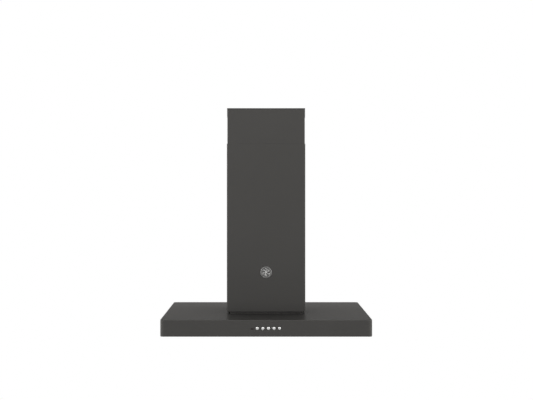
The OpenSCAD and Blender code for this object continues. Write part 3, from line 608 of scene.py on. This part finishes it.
def badge_piece():
    """Round badge: a darker field, a rounded rim, a thin ring, a bright hub and six plain fan blades."""
    low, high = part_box("badge")
    r = (high.x - low.x) / 2
    centre = Vector(((low.x + high.x) / 2, high.y, (low.z + high.z) / 2))
    matrix = Matrix.Translation(centre) @ OUT_OF_Y
    t = high.y - low.y
    bm = bmesh.new()
    field, field_t = r - 1 * MM, 1.1 * MM
    add_lathe(bm, [(0, 0), (field, 0), (field, field_t), (0, field_t)], matrix)
    smooth(piece("badge_field", bm, badge_field, "lower_cover", ["badge"]))
    bm = bmesh.new()
    bend, inside = 0.9 * MM, r - 2.6 * MM
    rim = [(r, 0)] + arc(r - bend, t - bend, bend, 0, 90, 6)
    rim += [(r - 1.9 * MM, t), (inside, t - bend), (inside, 0)]
    add_lathe(bm, rim, matrix, 96)
    r0, r1, edge, ring_t = r - 5.2 * MM, r - 4 * MM, 0.3 * MM, 1.9 * MM
    ring = [(r0, 0), (r0, ring_t - edge), (r0 + edge, ring_t)]
    ring += [(r1 - edge, ring_t), (r1, ring_t - edge), (r1, 0)]
    add_lathe(bm, ring, matrix, 96)
    hub_r, hub_rise = 3.6 * MM, 1.3 * MM
    hub = [(0, field_t + hub_rise)]
    hub += [(hub_r * math.sin(a), field_t + hub_rise * math.cos(a)) for a in (0.4, 0.8, 1.2, 1.57)]
    hub_mesh = bmesh.new()
    add_lathe(hub_mesh, hub + [(hub_r, 0), (0, 0)], matrix, 48)
    smooth(piece("badge_hub", hub_mesh, badge_bright, "lower_cover"))
    for k in range(6):
        fan_blade(bm, matrix @ Matrix.Rotation(math.radians(60 * k), 4, "Z"), r - 6.2 * MM)
    smooth(piece("badge_relief", bm, badge_metal, "lower_cover"))


def fan_blade(bm, matrix, reach):
    """One swept blade, thickest along its middle and rounded at its tip."""
    root, n = 3.4 * MM, 8
    section = ((-1, 1.1), (-0.5, 1.75), (0, 2.0), (0.5, 1.75), (1, 1.1), (1, 0.6), (-1, 0.6))
    rows = []
    for i in range(n + 1):
        t = i / n
        radius = root + (reach - root) * t
        mid = math.radians(34 * t)
        half = math.radians(10 + 12 * math.sin(math.pi * min(1, t * 1.05) * 0.62))
        tip = max(0, t - 0.8) / 0.2
        half *= math.sqrt(max(0.02, 1 - tip ** 2))
        row = []
        for across, h in section:
            a = mid + half * across
            row.append(bm.verts.new(matrix @ Vector((radius * math.cos(a), radius * math.sin(a), h * MM))))
        rows.append(row)
    loft(bm, rows)


# ---------------------------------------------------------------- screws and formed parts

def cross_screws(name, node, places, axis_matrix, r, h, finish):
    """Pan-head screws with a cross recess, heads only, at the given places. The two slots of the recess are
    cut one after the other and to unlike depths, as the cut comes out empty when cutters cross level."""
    bm = bmesh.new()
    for place in places:
        matrix = Matrix.Translation(place) @ axis_matrix(place)
        dome = [(0, h)]
        dome += [(r * math.sin(a / 4), h * (0.45 + 0.55 * math.cos(a / 4))) for a in range(1, 7)]
        add_lathe(bm, dome + [(r, 0), (0, 0)], matrix, 32)
    obj = piece(name, bm, finish, body_of(node), [node])
    for turn, depth in ((0, 1.1), (math.pi / 2, 1.0)):
        slots = bmesh.new()
        for place in places:
            matrix = Matrix.Translation(place) @ axis_matrix(place) @ Matrix.Translation((0, 0, h))
            matrix = matrix @ Matrix.Rotation(turn, 4, "Z")
            matrix = matrix @ Matrix.Diagonal((1.25 * r, 0.24 * r, depth * h, 1))
            bmesh.ops.create_cube(slots, size=1, matrix=matrix)
        cut(obj, slots)
    smooth(obj, 35)


def facing_x(place):
    """Turns +Z to +X or -X, away from the middle."""
    return Matrix.Rotation(math.copysign(math.pi / 2, place[0]), 4, "Y")


def facing_down(_):
    """Turns +Z to -Z, wherever the screw is."""
    return Matrix.Rotation(math.pi, 4, "X")


def extrude_y(bm, outline, y0, y1, x=0.0, z=0.0):
    """Closed outline of (x, z) points, drawn out along Y."""
    ends = []
    for y in (y0, y1):
        ends.append([bm.verts.new((x + px, y, z + pz)) for px, pz in outline])
    n = len(outline)
    for i in range(n):
        j = (i + 1) % n
        bm.faces.new((ends[0][i], ends[0][j], ends[1][j], ends[1][i]))
    bm.faces.new(ends[0])
    bm.faces.new(ends[1][::-1])


def strip_outline(points, t, r, n=5):
    """Outline of a bent strip of thickness t along a line of points, with bends of inside radius r."""
    left, right = [], []
    for i, point in enumerate(points):
        p = Vector(point)
        before = (p - Vector(points[i - 1])).normalized() if i else None
        after = (Vector(points[i + 1]) - p).normalized() if i < len(points) - 1 else None
        if before is None or after is None:
            d = after or before
            side = Vector((-d.y, d.x)) * t / 2
            left.append(p + side)
            right.append(p - side)
            continue
        angle = math.atan2(before.x * after.y - before.y * after.x, before.dot(after))
        mid = r + t / 2
        back = mid * math.tan(abs(angle) / 2)
        turn = math.copysign(1, angle)
        centre = p - before * back + Vector((-before.y, before.x)) * mid * turn
        start = -Vector((-before.y, before.x)) * turn
        for k in range(n + 1):
            spoke = Matrix.Rotation(angle * k / n, 2) @ start
            outer, inner = centre + spoke * (mid + t / 2), centre + spoke * (mid - t / 2)
            left.append(inner if turn > 0 else outer)
            right.append(outer if turn > 0 else inner)
    return [tuple(v) for v in left + right[::-1]]


# ---------------------------------------------------------------- grease filters and lamps

def filter_frame(side, x):
    """Mitred channel frame with rolled edges, open in the middle, on two hinge pegs."""
    low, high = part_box(side + "_filter_frame")
    peg_r, peg_out = 2.5 * MM, 5 * MM
    w, d = 2 * (high.x - x - peg_out), high.y - low.y
    sheet, bend = 1 * MM, 1.6 * MM
    ring_at, ring_y = (w - 40 * MM, d - 50 * MM, 1.5 * MM), 7 * MM
    z0, z1 = low.z, high.z
    lower = [("ring", z0 + sheet), ("ring", z0)]
    outer = [(px, z0 + bend + pz) for px, pz in arc(bend, 0, bend, 270, 180)]
    outer += [(px, z1 - bend + pz) for px, pz in arc(bend, 0, bend, 180, 90)]
    upper = [("ring", z1), ("ring", z1 - sheet)]
    inner = [(px, z1 - bend + pz) for px, pz in arc(bend, 0, bend - sheet, 90, 180, 3)]
    inner += [(px, z0 + bend + pz) for px, pz in arc(bend, 0, bend - sheet, 180, 270, 3)]
    bm = folded_sheet(w, d, 2 * MM, all_round(), lower + outer + upper + inner, True, ring_at, ring_y)
    for sx in (-1, 1):
        for sy in (-1, 1):
            inner_corner = (sx * ring_at[0] / 2, ring_y + sy * ring_at[1] / 2)
            corner_seam(bm, (sx * w / 2, sy * d / 2), inner_corner, z0)
    hinge = frame_joint(side + "_filter_tilt")
    for sx in (-1, 1):
        peg = [(0, 0), (peg_r, 0), (peg_r, peg_out - 0.6 * MM), (peg_r - 0.6 * MM, peg_out), (0, peg_out)]
        matrix = Matrix.Translation((sx * w / 2, hinge.y, hinge.z)) @ facing_x((sx, 0, 0))
        add_lathe(bm, peg, matrix, 32)
    bm.transform(Matrix.Translation((x, 0, 0)))
    smooth(piece(side + "_filter_frame_channel", bm, filter_steel_y, side + "_filter",
                 [side + "_filter_frame"]))


def corner_seam(bm, outer, inner, z):
    """Fine line along the mitre of a frame corner, which stands out of the sheet's underside at z."""
    a, b = Vector(outer), Vector(inner)
    a, b = a.lerp(b, 0.12), a.lerp(b, 0.96)
    d = (b - a).normalized()
    side = Vector((-d.y, d.x)) * 0.25 * MM
    section = ((-1, z + 0.3 * MM), (0, z - 0.12 * MM), (1, z + 0.3 * MM))
    loft(bm, [[bm.verts.new((p.x + k * side.x, p.y + k * side.y, h)) for k, h in section] for p in (a, b)])


def frame_joint(name):
    """Anchor of a joint at rest, from the record."""
    joints = {joint["name"]: joint for joint in frame["record"]["behaviour"]["joints"]}
    return Vector(joints[name]["pos_m"])


def filter_baffles(side, x):
    """Formed channels in two rows: the lower row opens upwards and the upper row covers its gaps."""
    low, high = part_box(side + "_filter_baffles")
    n, pitch = 9, 32 * MM
    deep, t, r = 4 * MM, 0.8 * MM, 1.2 * MM
    half = pitch * 0.31 - t / 2
    bm = bmesh.new()
    up = strip_outline([(-half, deep), (-half, t / 2), (half, t / 2), (half, deep)], t, r)
    over = [(px, -pz) for px, pz in up]
    for i in range(n):
        extrude_y(bm, up, low.y, high.y, x + pitch * (i - (n - 1) / 2), low.z)
    for i in range(n - 1):
        extrude_y(bm, over, low.y, high.y, x + pitch * (i - (n - 2) / 2), high.z)
    smooth(piece(side + "_filter_baffle_channels", bm, filter_steel_y, side + "_filter",
                 [side + "_filter_baffles"]))


def filter_handle(side):
    """Bow of bent strip under the front edge."""
    low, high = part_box(side + "_filter_handle")
    x, t = (low.x + high.x) / 2, 2.4 * MM
    reach, drop = (high.x - low.x) / 2 - t / 2, low.z + t / 2
    path = [(-reach, high.z + 0.4 * MM), (-reach, drop), (reach, drop), (reach, high.z + 0.4 * MM)]
    bm = bmesh.new()
    extrude_y(bm, strip_outline(path, t, 4 * MM, 8), low.y, high.y, x)
    obj = piece(side + "_filter_bow_handle", bm, filter_steel_x, side + "_filter",
                [side + "_filter_handle"])
    bevel(obj, 0.5 * MM, 3)
    smooth(obj)


def lamps():
    """Four lamps: rolled bezel, lightly domed frosted lens that is open at its back, and finned housing."""
    low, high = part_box("lamp_bezels")
    r = 32.1
    x, y = high.x - r * MM, high.y - r * MM
    z = low.z + 2 * MM
    # (radius, height) in mm, from the panel's underside up
    bezel = [(24.1, 1.6), (24.1, -1.1)] + arc(24.9, -1.1, 0.8, 180, 270, 5) + [(29, -1.75)]
    bezel += arc(30.8, -0.3, 1.3, 270, 360, 6) + [(r, 0), (26.9, 0), (26.9, 1.6)]
    lens = [(0, 1.6), (0, -1)] + [(23.8 * k / 8, -1 + 0.55 * (k / 8) ** 3) for k in range(1, 9)]
    lens += [(23.8, 1.6)]
    housing = [(24.9, 1.9), (27, 1.9)]
    for foot in (9.8, 14.8, 19.8, 24.8):
        housing += [(27, foot), (29.6, foot + 0.1), (30, foot + 0.5)]
        housing += [(30, foot + 1.1), (29.6, foot + 1.5), (27, foot + 1.6)]
    housing += [(27, 27.2), (26.4, 27.8), (0, 27.8), (0, 15.2), (24.9, 15.2)]
    for name, node, profile, steps, finish, slot in (
            ("lamp_bezel_set", "lamp_bezels", bezel, 72, filter_steel_x, "filter_steel"),
            ("lamp_lens_set", "lamp_lenses", lens, 64, lamp_glass, "lamp_glass"),
            ("lamp_housing_set", "lamp_housings", housing, 64, lamp_cast, "lamp_aluminium")):
        bm = bmesh.new()
        for sx in (-1, 1):
            for sy in (-1, 1):
                place = Matrix.Translation((sx * x, sy * y, z))
                add_lathe(bm, in_mm(profile), place, steps)
        smooth(piece(name, bm, finish, "hood", [node]))


# ---------------------------------------------------------------- blower and outlet

def impeller():
    """Squirrel-cage wheel: dished centre disc, hub, end rings and forward-curved blades."""
    low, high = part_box("impeller_wheel")
    centre = (low + high) / 2
    r, half = (high.z - low.z) / 2, (high.x - low.x) / 2
    inside = r - 14 * MM
    matrix = Matrix.Translation(centre) @ ALONG_X
    bm = bmesh.new()
    half_disc = in_mm([(4.05, 9), (11, 9), (12, 8), (12, 2), (24, 1.5), (48, 1.2), (60, 0.9)])
    half_disc += [(r - 0.4 * MM, 0.9 * MM), (r, 0.5 * MM)]
    add_lathe(bm, half_disc + [(radius, -z) for radius, z in half_disc[::-1]], matrix, 72)
    edge, sheet, inner_hem, outer_hem, under = 0.7 * MM, 0.8 * MM, 3 * MM, 4 * MM, half - 1.2 * MM
    ring = [(inside, half - inner_hem), (inside, half - edge), (inside + edge, half), (r - edge, half)]
    ring += [(r, half - edge), (r, half - outer_hem), (r - sheet, half - outer_hem), (r - sheet, under)]
    ring += [(inside + sheet, under), (inside + sheet, half - inner_hem)]
    for side in (-1, 1):
        add_lathe(bm, [(radius, side * z) for radius, z in ring], matrix, 72)
    for k in range(36):
        blade = matrix @ Matrix.Rotation(2 * math.pi * k / 36, 4, "Z")
        for z0, z1 in ((-under, -0.8 * MM), (0.8 * MM, under)):
            curved_blade(bm, blade, inside + 0.6 * MM, r - 0.9 * MM, z0, z1)
    smooth(piece("impeller_cage", bm, wheel_sheet, "impeller", ["impeller_wheel"]), 40)


def curved_blade(bm, matrix, r0, r1, z0, z1):
    """One rolled blade between two radii, from z0 to z1."""
    n, t = 6, 0.45 * MM
    rows = []
    for i in range(n + 1):
        k = i / n
        radius, a = r0 + (r1 - r0) * k, math.radians(9 * k * k)
        p = Vector((radius * math.cos(a), radius * math.sin(a), 0))
        normal = Vector((-math.sin(a + 0.9 * k), math.cos(a + 0.9 * k), 0)) * t
        corners = ((1, z0), (1, z1), (-1, z1), (-1, z0))
        rows.append([bm.verts.new(matrix @ (p + s * normal + Vector((0, 0, z)))) for s, z in corners])
    loft(bm, rows)


def outlet():
    """Moulded spigot with a foot flange, a drawn-in top for the duct and two stops under the damper flaps."""
    low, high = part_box("outlet_spigot")
    centre = (low + high) / 2
    foot, t = (high.x - low.x) / 2, 1.5 * MM
    r = foot - 5 * MM
    z0, z1 = low.z, high.z
    edge, flange, waist = 0.5 * MM, 1.8 * MM, r - 0.9 * MM
    wall = [(r - t, z0), (foot - edge, z0), (foot, z0 + edge), (foot, z0 + flange - edge)]
    wall += [(foot - edge, z0 + flange), (r, z0 + flange), (r, z1 - 12 * MM), (waist, z1 - 10 * MM)]
    wall += [(waist, z1 - 4 * MM), (r - 1.2 * MM, z1), (r - t, z1)]
    bm = bmesh.new()
    add_lathe(bm, wall, Matrix.Translation((centre.x, centre.y, 0)), 96)
    rod_low, rod_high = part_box("damper_rod")
    rod_z = (rod_low.z + rod_high.z) / 2
    for side in (-1, 1):
        stop = Vector((0, centre.y + side * (r - t - 1 * MM), rod_z - 2.4 * MM))
        half = Vector((5 * MM, 1.9 * MM, 1.5 * MM))
        add_box(bm, stop - half, stop + half)
    smooth(piece("outlet_spigot_moulding", bm, black_plastic, "hood", ["outlet_spigot"]))


def motor_can():
    """Motor can with end bells, cooling grooves and a hole for the shaft."""
    low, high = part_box("motor")
    r = (high.z - low.z) / 2
    x0, x1 = low.x + 24 * MM, high.x - 6 * MM
    bell, groove, hole = r - 1 * MM, r - 1.6 * MM, 4.05 * MM
    can = [(0, low.x), (22 * MM, low.x), (25 * MM, low.x + 3 * MM), (25 * MM, x0 - 1 * MM), (27 * MM, x0)]
    can += [(r - 3 * MM, x0), (bell, x0 + 1 * MM), (bell, x0 + 8 * MM), (r, x0 + 9 * MM)]
    for i in range(5):
        x = x0 + (12 + 4.5 * i) * MM
        can += [(r, x), (groove, x + 0.6 * MM), (groove, x + 1.6 * MM), (r, x + 2.2 * MM)]
    can += [(r, x1 - 9 * MM), (bell, x1 - 8 * MM), (bell, x1 - 1 * MM), (r - 3 * MM, x1), (r - 14 * MM, x1)]
    can += [(r - 14.5 * MM, high.x), (hole, high.x), (hole, high.x - 20 * MM), (0, high.x - 20 * MM)]
    bm = bmesh.new()
    add_lathe(bm, can, Matrix.Translation((0, (low.y + high.y) / 2, (low.z + high.z) / 2)) @ ALONG_X, 72)
    smooth(piece("motor_can", bm, motor_enamel, "hood", ["motor"]))


def capacitor_can():
    """Can capacitor with a crimped rim, two flat terminals and the clip that holds it."""
    low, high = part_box("capacitor")
    x, y, z = low.x + 15 * MM, (low.y + high.y) / 2, low.z
    body = [(0, 0), (13.6, 0), (15, 1.4), (15, 55), (14.3, 55.6), (14.3, 56.4), (15, 57), (14.6, 58)]
    body += [(11, 58), (10.4, 62), (0, 62)]
    bm = bmesh.new()
    add_lathe(bm, in_mm(body), Matrix.Translation((x, y, z)), 48)
    for side in (-1, 1):
        at_x, thick, wide = x + side * 4 * MM, 0.4 * MM, 1.4 * MM
        add_box(bm, (at_x - thick, y - wide, z + 61 * MM), (at_x + thick, y + wide, high.z))
    add_box(bm, (x + 12 * MM, y - 6 * MM, z + 6 * MM), (high.x, y + 6 * MM, z + 10 * MM))
    smooth(piece("capacitor_can", bm, white_plastic, "hood", ["capacitor"]))


# ---------------------------------------------------------------- edges of the CAD nodes that stay

EDGE_ANGLE = 30
EDGE_ROUNDS = {
    "chimney_collar": 0.4 * MM, "underside_panel": 0.35 * MM,
    "upper_posts": 0.5 * MM, "upper_brace": 0.4 * MM, "lower_posts": 0.5 * MM, "lower_brace": 0.4 * MM,
    "motor_box": 0.3 * MM, "filter_rails": 0.35 * MM, "motor_bracket": 0.4 * MM,
    "upper_post_bolts": 0.4 * MM, "frame_clamp_bolts": 0.4 * MM, "post_foot_bolts": 0.35 * MM,
    "motor_box_bolts": 0.35 * MM, "blower_bolts": 0.3 * MM, "rotor_shaft": 0.4 * MM,
    "scroll_left": 0.5 * MM, "scroll_right": 0.5 * MM, "inlet_rings": 0.4 * MM,
    "damper_flap_front": 0.3 * MM, "damper_flap_rear": 0.3 * MM, "junction_box": 0.6 * MM,
    "junction_box_lid": 0.7 * MM, "cable_gland": 0.6 * MM, "terminal_block": 0.4 * MM,
    "control_box": 0.6 * MM, "button_guide": 0.4 * MM, "switch_board": 0.25 * MM,
    "indicator_lens": 0.35 * MM, "led_driver": 0.8 * MM, "filter_magnets": 0.4 * MM,
}


def weld(obj):
    obj.modifiers.new("weld", "WELD").merge_threshold = MERGE


def round_edges():
    """Gives the folded, moulded and turned CAD nodes that stay their small edge rounds."""
    for name, width in EDGE_ROUNDS.items():
        obj = frame["nodes"][name]
        weld(obj)
        bevel(obj, width, 2, EDGE_ANGLE)
        keep_flats(obj)


def crisp_plate():
    """Splits the ceiling plate at its folds, since a bevel would crease its large faces."""
    plate = frame["nodes"]["ceiling_plate"]
    weld(plate)
    plate.modifiers.new("folds", "EDGE_SPLIT").split_angle = math.radians(EDGE_ANGLE)


round_edges()
crisp_plate()
canopy()
cover_half("lower_cover_front_shell", "lower_cover_front", -1, 18 * MM, False)
cover_half("lower_cover_rear_shell", "lower_cover_rear", 1, 18 * MM, False)
cover_half("upper_cover_front_shell", "upper_cover_front", -1, 0, True)
cover_half("upper_cover_rear_shell", "upper_cover_rear", 1, 0, True)
cover_screws()
for button in BUTTONS:
    push_button(button)
badge_piece()
for side, sign in (("left", -1), ("right", 1)):
    filter_x = sign * abs(frame_joint(side + "_filter_tilt").x)
    filter_frame(side, filter_x)
    filter_baffles(side, filter_x)
    filter_handle(side)
lamps()
impeller()
outlet()
motor_can()
capacitor_can()


# ---------------------------------------------------------------- stage, light, camera

def floor():
    """Plain pale floor, well below the hanging hood."""
    bpy.ops.mesh.primitive_plane_add(size=7, location=(0, 0, -3.4))
    obj = bpy.context.object
    obj.name = "studio_floor"
    pale = grained("pale_floor", (0.55, 0.55, 0.5445), 0.8, 0.0, 0.01, 60, 0.0001, blotch=2)
    obj.data.materials.append(pale)


def direction_ramp(tree, direction, axis, fold, start, end, low, high):
    """Turns one part of a direction into a light level: smoothly from low, where that part is at start, to
    high, where it is at end. With fold, both signs count the same."""
    split = tree.nodes.new("ShaderNodeSeparateXYZ")
    tree.links.new(direction, split.inputs["Vector"])
    value = split.outputs[axis]
    if fold:
        size = tree.nodes.new("ShaderNodeMath")
        size.operation = "ABSOLUTE"
        tree.links.new(value, size.inputs[0])
        value = size.outputs["Value"]
    level = tree.nodes.new("ShaderNodeMapRange")
    level.interpolation_type = "SMOOTHSTEP"
    level.inputs["From Min"].default_value = start
    level.inputs["From Max"].default_value = end
    level.inputs["To Min"].default_value = low
    level.inputs["To Max"].default_value = high
    tree.links.new(value, level.inputs["Value"])
    return level.outputs["Result"]


def world():
    """White studio. Its light is dim from below, brighter from above and brightest from both sides. The
    background that the camera sees is plain white."""
    w = bpy.data.worlds.new("studio")
    w.use_nodes = True
    tree = w.node_tree
    direction = tree.nodes.new("ShaderNodeTexCoord").outputs["Generated"]
    sides = direction_ramp(tree, direction, "X", fold=True, start=0.3, end=0.95, low=1.0, high=3.6)
    above = direction_ramp(tree, direction, "Z", fold=False, start=-0.4, end=0.2, low=0.3, high=2.0)
    both = tree.nodes.new("ShaderNodeMath")
    both.operation = "MULTIPLY"
    tree.links.new(sides, both.inputs[0])
    tree.links.new(above, both.inputs[1])
    seen = tree.nodes.new("ShaderNodeLightPath")
    level = tree.nodes.new("ShaderNodeMix")
    tree.links.new(seen.outputs["Is Camera Ray"], level.inputs["Factor"])
    tree.links.new(both.outputs["Value"], level.inputs["A"])
    level.inputs["B"].default_value = 1.0
    background = tree.nodes["Background"]
    background.inputs["Color"].default_value = (1, 1, 1, 1)
    tree.links.new(level.outputs["Result"], background.inputs["Strength"])
    bpy.context.scene.world = w


def back_light():
    """Soft box behind and above the hood, which lights the canopy's top from behind."""
    data = bpy.data.lights.new("back_soft_box", "AREA")
    data.shape = "RECTANGLE"
    data.size = 2.6
    data.size_y = 1.1
    data.energy = 90
    obj = bpy.data.objects.new("back_soft_box", data)
    obj.location = (0, 1.6, 0.2)
    aim = Vector((0, 0, -0.9)) - obj.location
    obj.rotation_euler = aim.to_track_quat("-Z", "Y").to_euler()
    bpy.context.scene.collection.objects.link(obj)


def camera():
    """The photograph's level view: 4.4 m in front of the band, 0.36 m under the ceiling."""
    data = bpy.data.cameras.new("camera")
    data.sensor_width = 36
    data.lens = 70.27
    data.shift_x = 0.00584
    data.shift_y = -0.02062
    data.clip_end = 60
    obj = bpy.data.objects.new("camera", data)
    obj.location = (-0.012, -4.753, -0.3585)
    obj.rotation_euler = (math.pi / 2, 0, 0)
    bpy.context.scene.collection.objects.link(obj)
    bpy.context.scene.camera = obj


bpy.context.scene.view_settings.view_transform = "Standard"
floor()
world()
back_light()
camera()
